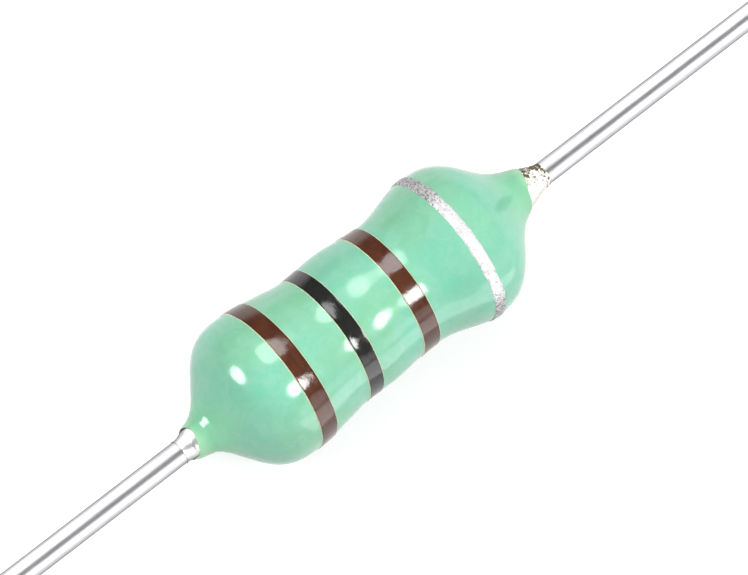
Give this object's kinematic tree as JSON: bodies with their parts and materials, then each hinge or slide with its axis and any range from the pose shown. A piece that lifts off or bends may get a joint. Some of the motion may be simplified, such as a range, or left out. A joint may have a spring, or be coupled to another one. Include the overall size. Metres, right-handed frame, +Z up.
{
  "type": "axial inductor",
  "caption": "Axial inductor with a dog-bone epoxy body, colour bands and two straight tinned leads, for through-hole boards.",
  "frame": {"origin": "middle of the ferrite drum, on the lead axis, which is the middle of the whole part", "axes": "+X along the lead axis towards the finish lead, the one next to the narrow silver band; Z up, Y across"},
  "size_m": [0.062, 0.0044, 0.0044],
  "materials": {
    "ferrite": "matt sintered",
    "enamelled_copper": "clear enamel",
    "tinned_wire": "bright tinned",
    "cement": "matt",
    "solder": "dull and grainy",
    "epoxy": "glossy, slightly rippled",
    "brown_paint": "glossy paint",
    "black_paint": "glossy paint",
    "silver_paint": "metallic flake paint"
  },
  "bodies": {
    "root": {"ferrite_drum": "ferrite", "coil_wire": "enamelled_copper", "lead_start": "tinned_wire", "lead_finish": "tinned_wire", "cement_start": "cement", "cement_finish": "cement", "solder_start": "solder", "solder_finish": "solder", "epoxy_coat": "epoxy", "band_1_brown": "brown_paint", "band_2_black": "black_paint", "band_3_brown": "brown_paint", "band_4_silver": "silver_paint"}
  },
  "joints": []
}
